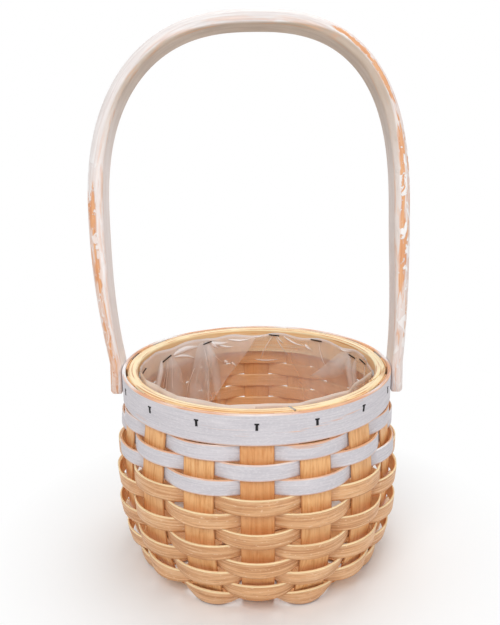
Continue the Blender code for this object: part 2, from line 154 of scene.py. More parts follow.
# Handle's wear and painted shade: depths below the outer face's middle, then levels from the left
# foot, at 0, to the right foot, at 1: the outer face's share of the thickness, bare wood, thin
# paint, painted shade on the flat faces, the worn streak, the worn rim and blobs of thick paint
WEAR_STREAK_DEPTH = 0.0052
WHITE_SMEAR_DEPTH = 0.0069
STREAK_RAGGEDNESS = 0.0042
CROWN_EDGE_BLUR = 0.0009
CROWN_RIM_INSET = 0.0022
CROWN_SHARES = (
    (0.0, 0.62), (0.22, 0.60), (0.40, 0.72), (0.46, 0.88), (0.53, 0.86), (0.60, 0.54),
    (0.69, 0.48), (0.76, 0.68), (0.85, 0.74), (1.0, 0.72),
)
BARE_LEVELS = (
    (0.0, 0.26), (0.10, 0.30), (0.20, 0.38), (0.24, 0.0), (0.40, 0.0), (0.52, 0.04),
    (0.565, 0.04), (0.61, 0.12), (0.69, 0.20), (0.75, 0.34), (0.84, 0.30), (1.0, 0.12),
)
THIN_LEVELS = (
    (0.0, 0.78), (0.18, 0.60), (0.24, 0.08), (0.55, 0.03), (0.62, 0.26), (0.80, 0.30), (1.0, 0.26),
)
PAINTED_SHADE_LEVELS = (
    (0.0, 0.0), (0.24, 0.0), (0.33, 0.75), (0.50, 1.0), (0.68, 0.85), (0.78, 0.30), (1.0, 0.04),
)
STREAK_LEVELS = (
    (0.0, 0.0), (0.58, 0.0), (0.60, 0.46), (0.675, 0.50), (0.70, 0.0), (1.0, 0.0),
)
RIM_LEVELS = (
    (0.0, 0.02), (0.12, 0.06), (0.17, 0.12), (0.215, 0.12), (0.235, 0.0), (0.70, 0.0),
    (0.74, 0.13), (0.84, 0.17), (0.92, 0.16), (1.0, 0.10),
)
BLOB_LEVELS = (
    (0.0, 0.3), (0.17, 0.8), (0.24, 0.8), (0.26, 0.0), (0.70, 0.0), (0.74, 1.0), (0.88, 1.0),
    (1.0, 0.3),
)

# Staples: through the rim with a dark bar of painted shade for the dent at the top of each, across
# the hoop, and along the film
BAR_CORNER_SHARE = 0.3
RIM_STAPLE_DROP = 0.0092
RIM_STAPLE_HEIGHT = 0.0046
RIM_STAPLE_WIDTH = 0.0019
RIM_STAPLE_THICKNESS = 0.0006
RIM_STAPLE_LEAN = 0.0003
RIM_STAPLE_SEED = 300
# Size of the dark steel bar that stands for the shade in each staple's dent: painted shade
RIM_DENT_SHADE_WIDTH = 0.0034
RIM_DENT_SHADE_HEIGHT = 0.6 * RIM_STAPLE_WIDTH
RIM_DENT_SHADE_THICKNESS = 0.6 * RIM_STAPLE_THICKNESS
HOOP_STAPLE_AZIMUTH, HOOP_STAPLE_SLANT = math.radians(14.0), 0.012
HOOP_STAPLE_START, HOOP_STAPLE_END = 0.0002, 0.0078
HOOP_STAPLE_WIDTH, HOOP_STAPLE_THICKNESS = 0.0013, 0.0008
FILM_STAPLE_LENGTH = 0.0125
FILM_STAPLE_WIDTH = 0.0011
FILM_STAPLE_THICKNESS = 0.7 * FILM_STAPLE_WIDTH
FILM_STAPLE_STAND = 0.0012

# Film: azimuth in degrees, height and tilt of each staple that holds it
FILM_STAPLES = (
    (20.0, 0.156, 0.0), (47.0, 0.155, 0.1), (76.0, 0.154, 0.0), (104.5, 0.1545, 0.05),
    (117.0, 0.1535, 0.08), (143.3, 0.1578, 0.0), (170.2, 0.1583, 0.08), (209.0, 0.1545, -0.2),
    (238.8, 0.1504, -0.24), (266.0, 0.154, 0.0), (294.0, 0.156, 0.1), (321.0, 0.155, 0.0),
    (348.0, 0.156, -0.1),
)
FILM_TOP_DROP = 0.0022
FILM_FRONT_DROP = 0.0004
FILM_FRONT_STAND = 0.0030
FILM_GAP = 0.0008
FILM_CRUMPLE = 0.0008
CRUMPLE_FINE, CRUMPLE_BROAD, CRUMPLE_CLIMB = 17.0, 5.0, 60.0
FILM_SAG = 0.0022
SAG_WAVES = len(FILM_STAPLES) / 2.0
FILM_LEFT_SLACK = 0.8
FILM_PULL_LOW, FILM_PULL_TOP = RIM_HEIGHT - 2.2 * BAND_HEIGHT, RIM_HEIGHT - 0.4 * BAND_HEIGHT
FILM_FLOOR_RISE = 0.0004
# Painted highlight along the film's top edge
FILM_RIM_HIGHLIGHT = 0.5

# Film's radius and height from the floor to the rim, without its gap, folds and crumple
FILM_WALL_GAP = 0.0012
FILM_SLACK = 0.002
FILM_INSET = STAVE_THICKNESS / 2.0 + WEAVE_GAP + WEAVER_THICKNESS + FILM_WALL_GAP
FILM_SEAT_GAP = 0.0008
FILM_SEAT_RADIUS = HOOP_INNER_RADIUS - FILM_SEAT_GAP
FILM_PROFILE = (
    (FLAT_RADIUS - 2.0 * FILM_INSET, 0.0),
    (HEEL_RADIUS - 2.0 * FILM_INSET, RIM_HEIGHT - HEEL_DEPTH),
    (LOWER_RADIUS - 2.0 * FILM_INSET, RIM_HEIGHT - LOWER_DEPTH),
    (BELLY_RADIUS - FILM_INSET - FILM_SLACK, RIM_HEIGHT - BELLY_DEPTH),
    (NECK_RADIUS - FILM_INSET - FILM_SLACK, RIM_HEIGHT - NECK_DEPTH - ROW_PITCH),
    (FILM_SEAT_RADIUS, RIM_HEIGHT - BAND_HEIGHT),
    (FILM_SEAT_RADIUS, RIM_HEIGHT),
)

# Haze, partly painted reflection of the lamps, as arc lengths round the band from the front: the
# middle of the haze at the right, and the free edge of the film's upper layer at height 0, with how
# it falls back higher up
RIGHT_HAZE_AND_REFLECTION_PLACE = 0.262
SHEET_EDGE_PLACE = 0.4610
SHEET_EDGE_SLOPE = 0.7276

# Film folds: azimuth and height of both ends, width and haze; above the crease level a fold is a
# crease, a thin painted highlight, and bends the other way
CREASE_HIGHLIGHT = 0.4
FOLD_BEND = 0.06
FOLD_GAP = 0.0003
FOLD_RIDGE, FOLD_RIDGE_SHARE = 0.0012, 0.35
FILM_FOLDS = (
    (243.0, 0.151, 246.5, 0.06, 0.013, 0.95), (236.0, 0.15, 226.0, 0.06, 0.02, 0.12),
    (235.0, 0.15, 224.0, 0.085, 0.0032, 0.42), (213.0, 0.156, 219.0, 0.06, 0.026, 0.1),
    (210.5, 0.156, 201.0, 0.078, 0.011, 0.24), (233.5, 0.151, 213.5, 0.152, 0.0056, 0.34),
    (233.0, 0.149, 217.0, 0.1415, 0.003, 0.4), (212.5, 0.155, 208.0, 0.07, 0.004, 0.36),
    (211.0, 0.155, 203.0, 0.085, 0.0026, 0.42), (207.0, 0.154, 196.0, 0.1535, 0.0042, 0.5),
    (203.0, 0.1515, 193.0, 0.1485, 0.0026, 0.55), (197.0, 0.156, 181.5, 0.1567, 0.0022, 0.8),
    (194.5, 0.132, 191.0, 0.1265, 0.003, 0.62), (181.0, 0.157, 174.5, 0.159, 0.0016, 0.6),
    (168.0, 0.1575, 163.0, 0.15, 0.0022, 0.45), (164.0, 0.158, 149.0, 0.1508, 0.0022, 0.85),
    (150.5, 0.1525, 146.0, 0.147, 0.0034, 0.75), (181.0, 0.134, 166.0, 0.1335, 0.0026, 0.62),
    (126.0, 0.157, 116.0, 0.158, 0.0018, 0.6), (118.5, 0.154, 150.0, 0.118, 0.018, 0.34),
    (119.0, 0.1535, 125.0, 0.085, 0.01, 0.4), (113.0, 0.153, 114.0, 0.09, 0.012, 0.42),
    (101.0, 0.154, 104.0, 0.1, 0.009, 0.4), (211.5, 0.155, 214.0, 0.065, 0.0014, 0.75),
    (209.5, 0.155, 205.0, 0.08, 0.0012, 0.6), (212.0, 0.155, 222.0, 0.09, 0.0012, 0.55),
    (238.0, 0.15, 231.0, 0.09, 0.0013, 0.6), (238.5, 0.15, 236.0, 0.075, 0.0012, 0.55),
    (236.0, 0.15, 219.0, 0.11, 0.0012, 0.45), (211.0, 0.156, 198.0, 0.13, 0.0012, 0.5),
    (206.5, 0.155, 203.0, 0.148, 0.004, 0.9), (199.0, 0.134, 196.0, 0.131, 0.004, 0.8),
    (170.0, 0.158, 178.0, 0.13, 0.0012, 0.45), (169.0, 0.158, 160.0, 0.138, 0.0013, 0.55),
    (142.0, 0.157, 134.0, 0.125, 0.0012, 0.45), (117.5, 0.153, 132.0, 0.135, 0.0013, 0.55),
    (117.0, 0.153, 122.0, 0.1, 0.0012, 0.5),
)

# Camera fitted to the photograph, whose frame is 500 by 625 pixels
PHOTO_HEIGHT_PX = 625.0
FOCAL_PX = 702.9
SENSOR = 36.0
CAMERA_DISTANCE = 0.5536
CAMERA_RISE = 0.1905
CAMERA_PITCH = 0.2606
CAMERA_YAW = -0.0085
CAMERA_ROLL = 0.0113
CLIP_START = 0.01

# Floor, world and soft lamps: name, place, size and power of each lamp
WHITE = (1.0, 1.0, 1.0, 1.0)
FLOOR_REACH = 6.0
FLOOR_DROP = 0.0002
FLOOR_GREY = 0.92
FLOOR_FADE_START, FLOOR_FADE_END = 0.10, 0.24
WORLD_STRENGTH = 0.45
LAMP_TARGET = (0.0, 0.0, 0.16)
LAMPS = (
    ("key", (-0.5, -1.3, 1.5), 0.9, 14.5),
    ("fill", (1.3, -0.9, 0.8), 1.2, 5.0),
    ("top", (0.2, 0.5, 1.8), 0.9, 9.5),
)


def at_azimuth(azimuth, radius, height):
    """Point at an azimuth from the front, -Y, towards +X."""
    return Vector((radius * math.sin(azimuth), -radius * math.cos(azimuth), height))


def directions(azimuth):
    """Unit vectors out from the middle and sideways round it, at an azimuth."""
    outward = at_azimuth(azimuth, 1.0, 0.0)
    return outward, Vector((-outward.y, outward.x, 0.0))


def ease(value, low, high):
    """Smooth step from 0 at low to 1 at high."""
    t = min(max((value - low) / (high - low), 0.0), 1.0)
    return t * t * (3.0 - 2.0 * t)


# Objects and meshes

def new_object(name, data):
    """A new object in the scene."""
    item = bpy.data.objects.new(name, data)
    bpy.context.scene.collection.objects.link(item)
    return item


def rounded_section(width, thickness, radius, corner_steps=3):
    """Rounded bar section as (across, depth, edge), with edge 1 or -1 on its narrow sides."""
    half, flank = width / 2.0 - radius, thickness / 2.0 - radius
    points = []
    for quarter, (side, face) in enumerate(((1, 1), (-1, 1), (-1, -1), (1, -1))):
        for step in range(corner_steps + 1):
            angle = math.pi / 2.0 * (quarter + step / corner_steps)
            across = side * half + radius * math.cos(angle)
            depth = face * flank + radius * math.sin(angle)
            points.append((across, depth, float(side)))
        if quarter in (0, 2):
            face_depth = face * thickness / 2.0
            for share in (1.0, 0.5, 0.0, -0.5, -1.0):
                points.append((side * share * (half - FACE_MARGIN), face_depth, 0.0))
    return points


def faces_between(base, rows, size, ring=False, closed=True):
    """Faces between rows of points; a ring also joins the last row to the first."""
    faces = []
    for i in range(rows if ring else rows - 1):
        a, b = base + i * size, base + (i + 1) % rows * size
        for j in range(size if closed else size - 1):
            k = (j + 1) % size
            faces.append((a + j, a + k, b + k, b + j))
    return faces


def skin(name, bars, material, ring=False):
    """Mesh over rows of equal closed loops; each point is (place, grain place, edge)."""
    places, grains, edges, faces = [], [], [], []
    for loops in bars:
        base, size, count = len(places), len(loops[0]), len(loops)
        for loop in loops:
            for place, grain, edge in loop:
                places.append(tuple(place))
                grains.append(tuple(grain))
                edges.append(edge)
        faces += faces_between(base, count, size, ring)
        if not ring:
            faces.append(tuple(base + j for j in reversed(range(size))))
            faces.append(tuple(base + (count - 1) * size + j for j in range(size)))
    return finish_mesh(name, places, faces, grains, edges, material)


def finish_mesh(name, places, faces, grains, edges, material, sharp_angle=SHARP_ANGLE):
    """One object with its faces turned out and the attributes that the materials read."""
    mesh = bpy.data.meshes.new(name)
    mesh.from_pydata(places, [], faces)
    attribute = mesh.attributes.new("grain", "FLOAT_VECTOR", "POINT")
    attribute.data.foreach_set("vector", np.array(grains, np.float32).ravel())
    attribute = mesh.attributes.new("edge", "FLOAT", "POINT")
    attribute.data.foreach_set("value", np.array(edges, np.float32))
    mesh.materials.append(material)
    mesh.shade_smooth()
    mesh.set_sharp_from_angle(angle=sharp_angle)
    shape = bmesh.new()
    shape.from_mesh(mesh)
    bmesh.ops.recalc_face_normals(shape, faces=shape.faces[:])
    shape.to_mesh(mesh)
    shape.free()
    return new_object(name, mesh)


# Shape of the wall

def wall_curve():
    """Radius and height along the middle of a stave, from the band down to the flat base."""
    knots = np.array((
        (RIM_STAVE_RADIUS, RIM_HEIGHT - BAND_HEIGHT),
        (NECK_RADIUS, RIM_HEIGHT - NECK_DEPTH),
        (BELLY_RADIUS, RIM_HEIGHT - BELLY_DEPTH),
        (LOWER_RADIUS, RIM_HEIGHT - LOWER_DEPTH),
        (HEEL_RADIUS, RIM_HEIGHT - HEEL_DEPTH),
        (FLAT_RADIUS, STAVE_THICKNESS / 2.0),
    ))
    steps = np.diff(knots, axis=0)
    spans = np.linalg.norm(steps, axis=1)
    slopes = [np.array((0.0, -1.0))]
    for i in range(1, len(steps)):
        slope = steps[i - 1] * spans[i] / spans[i - 1] + steps[i] * spans[i - 1] / spans[i]
        slopes.append(slope / np.linalg.norm(slope))
    slopes.append(np.array((-1.0, 0.0)))
    t = np.arange(WALL_SAMPLES)[:, None] / WALL_SAMPLES
    curves = [
        (2 * t**3 - 3 * t**2 + 1) * knots[i] + (t**3 - 2 * t**2 + t) * span * slopes[i]
        + (3 * t**2 - 2 * t**3) * knots[i + 1] + (t**3 - t**2) * span * slopes[i + 1]
        for i, span in enumerate(spans)
    ]
    return np.vstack(curves + [knots[-1:]])


WALL = wall_curve()
WALL_LENGTHS = np.concatenate(([0.0], np.cumsum(np.linalg.norm(np.diff(WALL, axis=0), axis=1))))
WALL_TOTAL = float(WALL_LENGTHS[-1])


def wall_point(length):
    """Radius and height at a length along the wall below the band."""
    radius = np.interp(length, WALL_LENGTHS, WALL[:, 0])
    height = np.interp(length, WALL_LENGTHS, WALL[:, 1])
    return float(radius), float(height)


def wall_normal(length):
    """Outward unit normal of the wall in its radius and height plane."""
    low = wall_point(length - STAVE_THICKNESS)
    high = wall_point(length + STAVE_THICKNESS)
    along = Vector((high[0] - low[0], high[1] - low[1])).normalized()
    return Vector((-along.y, along.x))


# Staves

def base_lift(strip, distance):
    """Rise of a strip over its neighbours, at a distance from the base's centre."""
    pair_share = 1.0 - ease(distance, PAIR_RADIUS, PAIR_RAMP_END)
    stack_share = 1.0 - ease(distance, STACK_RADIUS, STACK_RAMP_END)
    half = STRIP_COUNT // 2
    if strip % 2 == 0:
        return (strip // 2) * LAYER_STEP * stack_share
    return LAYER_STEP * (pair_share + (half - 1 + strip // 2) * stack_share)


def strip_stations(base_step=0.003, wall_step=0.0028):
    """Stations of half a strip, from the base's centre out and up to the rim."""
    base_steps = math.ceil(FLAT_RADIUS / base_step)
    stations = [(FLAT_RADIUS * i / base_steps, 0.0, True) for i in range(base_steps)]
    steps = math.ceil(WALL_TOTAL / wall_step)
    for i in range(steps, -1, -1):
        stations.append((*wall_point(WALL_TOTAL * i / steps), False))
    low, top = RIM_HEIGHT - BAND_HEIGHT, RIM_HEIGHT - STAVE_TOP_DROP
    for share in (0.3, 0.65, 1.0):
        stations.append((RIM_STAVE_RADIUS, low + (top - low) * share, False))
    return stations


def make_strip(strip, material):
    """One splint: up one side as a stave, across the base and up the other side."""
    along, across = directions(strip * STAVE_ANGLE)
    half = strip_stations()
    path = [(-reach, height, flat) for reach, height, flat in reversed(half[1:])] + half
    section = rounded_section(STAVE_WIDTH, STAVE_THICKNESS, STAVE_EDGE)
    level = STAVE_THICKNESS / 2.0
    rows = []
    for reach, height, flat in path:
        curl = 0.0 if flat else ease(height, level, RIM_HEIGHT - HEEL_DEPTH)
        row = []
        for offset, _, _ in section:
            inset = curl * offset**2 / (2.0 * reach) if reach else 0.0
            spot = along * (reach - inset) + across * offset
            lift = base_lift(strip, spot.length) if flat else 0.0
            spot.z = (level + lift) if flat else height
            row.append(spot)
        rows.append(row)
    loops, walked = [], 0.0
    for i, row in enumerate(rows):
        before = rows[max(i - 1, 0)][0]
        after = rows[min(i + 1, len(rows) - 1)][0]
        if i:
            walked += (row[0] - rows[i - 1][0]).length
        normal = across.cross(after - before).normalized()
        loop = []
        for spot, (offset, depth, edge) in zip(row, section):
            grain = (walked, offset + strip * STRIP_GRAIN_STEP, depth)
            loop.append((spot + normal * depth, grain, edge))
        loops.append(loop)
    piece = skin(f"stave_{strip + 1}", [loops], material)
    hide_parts(f"stave_strip_{strip + 1}")
    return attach(piece, "basket")


# Weavers

def row_bow(row):
    """How far a weaver stands off the face of the stave that it passes over."""
    middle = (ROW_COUNT - 1) / 2.0
    if row <= middle:
        return BOW_TOP + (BOW_MIDDLE - BOW_TOP) * row / middle
    return BOW_MIDDLE + (BOW_BOTTOM - BOW_MIDDLE) * (row - middle) / middle


def low_share(row):
    """How much of the last weaver's steeper and higher stand a row has."""
    return (max(row - HANG_ROW, 0) / (ROW_COUNT - 1 - HANG_ROW)) ** HANG_POWER


def weave_reach(middle):
    """Share of a half wave in which a weaver is free of the stave that it passes behind."""
    radius, _ = wall_point(middle)
    return 1.0 - (STAVE_WIDTH / 2.0 + WEAVE_GAP) / radius / STAVE_ANGLE


def weave_stops(reach):
    """Places of the sections in one wave, from 0 over a stave through 1/2 behind the next."""
    arc = [reach / 2.0 * step / ARC_STEPS for step in range(ARC_STEPS + 1)]
    flat = [(reach + (1.0 - reach) * step / HELD_STEPS) / 2.0 for step in range(1, HELD_STEPS)]
    half = arc + flat
    return half + [0.5] + [1.0 - stop for stop in reversed(half[1:])]


def weave_swing(stop, reach):
    """How far out a weaver is at a place in its wave: an arc from 0 behind a stave to 1 over it."""
    return 1.0 - min(2.0 * min(stop, 1.0 - stop) / reach, 1.0) ** 2


def weave_offset(bow, swing):
    """Offset of a weaver from the staves' middle."""
    half_plies = (STAVE_THICKNESS + WEAVER_THICKNESS) / 2.0
    behind = -(half_plies + WEAVE_GAP)
    return behind + (half_plies + bow - behind) * swing


def weave_stations(reach):
    """Places of the sections round one row, in waves, from behind a stave once round to it."""
    places = [wave + stop for wave, stop in product(range(STRIP_COUNT), weave_stops(reach))]
    before = [place + STRIP_COUNT for place in places if place < 0.5]
    return [place for place in places if place >= 0.5] + before


def looseness(azimuth):
    """1 in front and 0 at the back, where the weave lies closer, as seen from inside."""
    return 1.0 - ease(-math.cos(azimuth), 0.0, 0.8)


def tightened(bow, azimuth):
    """A bow at an azimuth, less at the back than in front."""
    return bow * (BACK_BOW_SHARE + (1.0 - BACK_BOW_SHARE) * looseness(azimuth))


def make_weaver(row, material):
    """One weaver row, a flat splint that winds in and out of the staves."""
    chance = random.Random(WEAVER_SEED + row)
    middle = ROW_START + row * ROW_PITCH + WEAVER_HEIGHT / 2.0
    bows = [row_bow(row) * chance.uniform(*BOW_SPREAD) for _ in range(STRIP_COUNT)]
    tilts = [chance.uniform(-TILT_SPREAD, TILT_SPREAD) for _ in range(STRIP_COUNT)]
    shift = STAVE_ANGLE if row % 2 == 0 else 0.0
    bows = [tightened(bow, lobe * WAVE_ANGLE + shift) for lobe, bow in enumerate(bows)]
    section = rounded_section(WEAVER_HEIGHT, WEAVER_THICKNESS, WEAVER_EDGE)
    places = [(wall_point(middle - a), wall_normal(middle - a)) for a, _, _ in section]
    reach = weave_reach(middle)
    hang = LAST_ROW_HANG * low_share(row)
    lift = LAST_ROW_LIFT * low_share(row)
    loops = []
    for station in weave_stations(reach):
        azimuth = station * WAVE_ANGLE + shift
        lobe = round(station) % STRIP_COUNT
        swing = weave_swing(station % 1.0, reach)
        offset = weave_offset(bows[lobe], swing)
        lean = hang * swing * looseness(azimuth)
        rise = lift * swing**2 * looseness(azimuth)
        loop = []
        for (across, depth, edge), ((radius, height), normal) in zip(section, places):
            out = offset + (WEAVER_FLARE + tilts[lobe] * swing - lean) * across + depth
            radius += normal.x * out - normal.y * rise
            height += normal.y * out + normal.x * rise
            spot = at_azimuth(azimuth, radius, height)
            grain = (azimuth * BELLY_RADIUS + row, across + row * ROW_GRAIN_STEP, depth)
            loop.append((spot, grain, edge))
        loops.append(loop)
    piece = skin(f"splint_{row + 1}", [loops], material, ring=True)
    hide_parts(f"weaver_{row + 1}")
    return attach(piece, "basket")


# Rim

def lap_sections(inner, outer, lap, steps=120, lap_steps=8):
    """Turn, inner radius and outer radius along a hoop whose tapered ends overlap."""
    taper = outer - inner - 2.0 * LAP_TIP - SEAT_GAP
    shares = [i / lap_steps for i in range(lap_steps + 1)]
    turns = [FULL_TURN * i / steps for i in range(1, steps)]
    start = [(lap * s, inner, inner + LAP_TIP + taper * s) for s in shares]
    middle = [(turn, inner, outer) for turn in turns if turn > lap]
    end = [(FULL_TURN + lap * s, outer - LAP_TIP - taper * (1.0 - s), outer) for s in shares]
    return start + middle + end


def make_hoop(name, node, inner, outer, height, edge, lap_length, lap_azimuth, material):
    """A hoop bent from one strip, with a scarf joint and softly rounded edges."""
    loops = []
    for turn, r_in, r_out in lap_sections(inner, outer, lap_length / outer):
        thickness = r_out - r_in
        corner = min(edge, thickness * LAP_CORNER_SHARE)
        azimuth = turn + lap_azimuth
        loop = []
        for across, depth, rim in rounded_section(height, thickness, corner, corner_steps=4):
            radius = (r_in + r_out) / 2.0 + depth
            z = RIM_HEIGHT - height / 2.0 + across
            grain = (azimuth * outer, z, radius)
            loop.append((at_azimuth(azimuth, radius, z), grain, rim))
        loops.append(loop)
    piece = skin(name, [loops], material)
    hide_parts(node)
    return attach(piece, "basket")


# Handle

def handle_outline(leg_steps=40, arch_steps=70):
    """Outer edge of one side of the handle: half width and distance above the pivot."""
    foot = FOOT_FACE + HANDLE_FOOT_THICKNESS
    points = [(foot, HANDLE_FOOT_CHAMFER - HANDLE_FOOT_DROP), (foot, 0.0)]
    for i in range(leg_steps):
        spread = 1.0 - i / leg_steps
        height = HANDLE_WAIST - (HANDLE_WAIST - HANDLE_SEAT_RISE) * spread
        points.append((HANDLE_HALF_SPAN - (HANDLE_HALF_SPAN - foot) * spread**2, height))
    arch = HANDLE_REACH - HANDLE_WAIST
    power = 2.0 / HANDLE_ARCH_POWER
    for i in range(arch_steps + 1):
        angle = math.pi / 2.0 * i / arch_steps
        across = HANDLE_HALF_SPAN * math.cos(angle) ** power if i < arch_steps else 0.0
        points.append((across, HANDLE_WAIST + arch * math.sin(angle) ** power))
    return points


def handle_section(thickness, crown_points=17, corner_steps=3):
    """D section as (across, depth, edge): flat inner face, rounded outer face."""
    half, corner, flank = HANDLE_WIDTH / 2.0, HANDLE_CORNER, thickness / 2.0
    left = []
    for step in range(corner_steps + 1):
        angle = math.pi / 2.0 * step / corner_steps
        across = -half + corner - corner * math.sin(angle)
        left.append((across, thickness - corner + corner * math.cos(angle), 1.0))
    crown = []
    for i in range(crown_points):
        angle = math.pi * (i + 1) / (crown_points + 1)
        crown.append((-half * math.cos(angle), flank * (1.0 - math.sin(angle)), 0.0))
    right = [(-across, depth, edge) for across, depth, edge in reversed(left)]
    inner = [(half * share, thickness, 0.0) for share in (0.75, 0.4, 0.0, -0.4, -0.75)]
    return left + crown + right + inner


def handle_frames():
    """Point, inward direction and thickness along the whole handle."""
    side = handle_outline()
    left = [Vector((-x, z)) for x, z in side]
    right = [Vector((x, z)) for x, z in reversed(side[:-1])]
    line = left + right
    frames = []
    for i, spot in enumerate(line):
        before = line[max(i - 1, 0)]
        after = line[min(i + 1, len(line) - 1)]
        along = (after - before).normalized()
        inward = Vector((along.y, -along.x))
        share = ease(spot.y, HANDLE_SEAT_RISE, HANDLE_WAIST)
        arch_share = ease(spot.y, HANDLE_WAIST, HANDLE_REACH)
        thickness = (
            HANDLE_FOOT_THICKNESS
            + (HANDLE_LEG_THICKNESS - HANDLE_FOOT_THICKNESS) * share
            + (HANDLE_CROWN_THICKNESS - HANDLE_LEG_THICKNESS) * arch_share
        )
        bow_share = max(spot.y - HANDLE_SEAT_RISE, 0.0) / (HANDLE_REACH - HANDLE_SEAT_RISE)
        bend = math.sin(math.pi * min(bow_share, 1.0))
        frames.append((Vector((spot.x - HANDLE_BOW * bend, spot.y)), inward, thickness))
    return frames


def chamfered_end(loop):
    """The foot's end face: its outline drawn in by the chamfer and lowered to the end."""
    centre = sum((place for place, _, _ in loop), Vector()) / len(loop)
    end = []
    for place, grain, _ in loop:
        moved = place + (centre - place).normalized() * HANDLE_FOOT_CHAMFER
        end.append((moved - Vector((0.0, 0.0, HANDLE_FOOT_CHAMFER)), grain, 1.0))
    return end


def make_handle():
    """The bentwood handle, leaned back about its pivots as it stands in the photograph."""
    frames = handle_frames()
    lean = Matrix.Rotation(-HANDLE_LEAN, 3, "X")
    pivot = Vector((0.0, 0.0, PIVOT_HEIGHT))
    loops, walked = [], 0.0
    for i, (spot, inward, thickness) in enumerate(frames):
        if i:
            walked += (spot - frames[i - 1][0]).length
        loop = []
        for across, depth, edge in handle_section(thickness):
            point = spot + inward * depth
            place = Vector((point.x, across, point.y))
            loop.append((place, (walked, across, depth), edge))
        loops.append(loop)
    loops = [chamfered_end(loops[0])] + loops + [chamfered_end(loops[-1])]
    loops = [[(lean @ p + pivot, grain, edge) for p, grain, edge in loop] for loop in loops]
    piece = skin("bent_handle", [loops], handle_material(walked))
    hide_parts("handle")
    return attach(piece, "swing_handle")


# Materials

class Signal:
    """A value or colour in a shader tree; arithmetic with it adds nodes to that tree."""

    def __init__(self, tree, socket):
        self.tree = tree
        self.socket = socket

    def __add__(self, other):
        return self.maths("ADD", other)

    def __sub__(self, other):
        return self.maths("SUBTRACT", other)

    def __mul__(self, other):
        return self.maths("MULTIPLY", other)

    def __abs__(self):
        return self.maths("ABSOLUTE")

    def maths(self, operation, other=0.0):
        """One arithmetic step with another value."""
        return signal(self.tree, "Math", 0, {0: self, 1: other}, operation=operation)

    def larger(self, other):
        """The larger of two values."""
        return self.maths("MAXIMUM", other)

    def away(self, other):
        """Distance from another value."""
        return abs(self - other)

    def remap(self, low, high, to_low=0.0, to_high=1.0):
        """The value with one range mapped onto another, clamped."""
        return signal(self.tree, "MapRange", "Result", {
            "Value": self, "From Min": low, "From Max": high, "To Min": to_low, "To Max": to_high,
        })

    def between(self, first, second):
        """Mix of two colours, where this value is the share of the second."""
        ends = [end if isinstance(end, Signal) else (*end, 1.0) for end in (first, second)]
        return signal(self.tree, "Mix", 2, {0: self, 6: ends[0], 7: ends[1]}, data_type="RGBA")


def signal(tree, kind, output, inputs=None, **settings):
    """Output of a new shader node, with its settings made and its inputs set or linked."""
    made = tree.nodes.new("ShaderNode" + kind)
    for key, value in settings.items():
        setattr(made, key, value)
    for key, value in (inputs or {}).items():
        if isinstance(value, Signal):
            tree.links.new(value.socket, made.inputs[key])
        else:
            made.inputs[key].default_value = value
    return Signal(tree, made.outputs[output])


def new_material(name, roughness):
    """A material with its tree and its Principled shader's sockets."""
    material = bpy.data.materials.new(name)
    material.use_nodes = True
    sockets = material.node_tree.nodes["Principled BSDF"].inputs
    sockets["Roughness"].default_value = roughness
    return material, material.node_tree, sockets


def finished(material, colour, relief, strength, distance=0.0005):
    """The material with its colour and its relief."""
    tree = material.node_tree
    sockets = tree.nodes["Principled BSDF"].inputs
    tree.links.new(colour.socket, sockets["Base Color"])
    inputs = {"Height": relief, "Distance": distance, "Strength": strength}
    tree.links.new(signal(tree, "Bump", "Normal", inputs).socket, sockets["Normal"])
    return material


def grain_noise(tree, along, across, detail=3.0, distortion=0.0, offset=0.0):
    """Noise drawn out along the grain; along and across are features in a metre."""
    place = signal(tree, "Mapping", "Vector", {
        "Vector": signal(tree, "Attribute", "Vector", attribute_name="grain"),
        "Scale": (along, across, across), "Location": (offset, offset, 0.0),
    })
    return signal(tree, "TexNoise", "Fac", {
        "Vector": place, "Scale": 1.0, "Detail": detail, "Distortion": distortion,
    })


def grain_part(tree, axis):
    """One part of a point's place in the grain."""
    grain = signal(tree, "Attribute", "Vector", attribute_name="grain")
    return signal(tree, "SeparateXYZ", axis, {"Vector": grain})


def edge_mark(tree):
    """The edge attribute: 1 on the upper raw edge and -1 on the lower, or the haze and painted
    highlights on the film.
    """
    return signal(tree, "Attribute", "Fac", attribute_name="edge")


def raw_edge(tree, side):
    """How near a raw edge a point is, from 0 to 1: the upper one for side 1, the lower for -1."""
    return edge_mark(tree).remap(0.0, side)


def splint_colour(tree):
    """Tan chip wood with fine grain lines, a painted highlight on its upper edge and painted shade
    on its lower.
    """
    fine = grain_noise(tree, 30.0, 800.0, detail=5.0)
    broad = grain_noise(tree, 9.0, 90.0, distortion=0.6, offset=3.0)
    pores = grain_noise(tree, 110.0, 2600.0, detail=2.0, offset=7.0)
    flecks = grain_noise(tree, 400.0, 900.0, detail=2.0, offset=11.0)
    colour = broad.remap(0.36, 0.64).between((0.60, 0.285, 0.115), (0.80, 0.445, 0.215))
    colour = fine.remap(0.46, 0.66, 0.0, 0.62).between(colour, (0.88, 0.585, 0.34))
    colour = fine.remap(0.36, 0.46, 0.42, 0.0).between(colour, (0.45, 0.175, 0.06))
    colour = pores.remap(0.34, 0.44, 0.45, 0.0).between(colour, (0.36, 0.13, 0.045))
    colour = flecks.remap(0.64, 0.70, 0.0, 0.6).between(colour, (0.88, 0.64, 0.43))
    # Painted highlight: the upper raw edge is paler, as where light falls on it
    painted_highlight_edge = raw_edge(tree, 1.0) * fine.remap(0.2, 0.5, 0.55, 1.0)
    colour = painted_highlight_edge.between(colour, (0.97, 0.76, 0.45))
    # Painted shade: the lower raw edge is darker, as where it faces down into shade
    colour = (raw_edge(tree, -1.0) * 0.75).between(colour, (0.50, 0.20, 0.06))
    return paler_inside_painted_light(colour, 0.62), fine


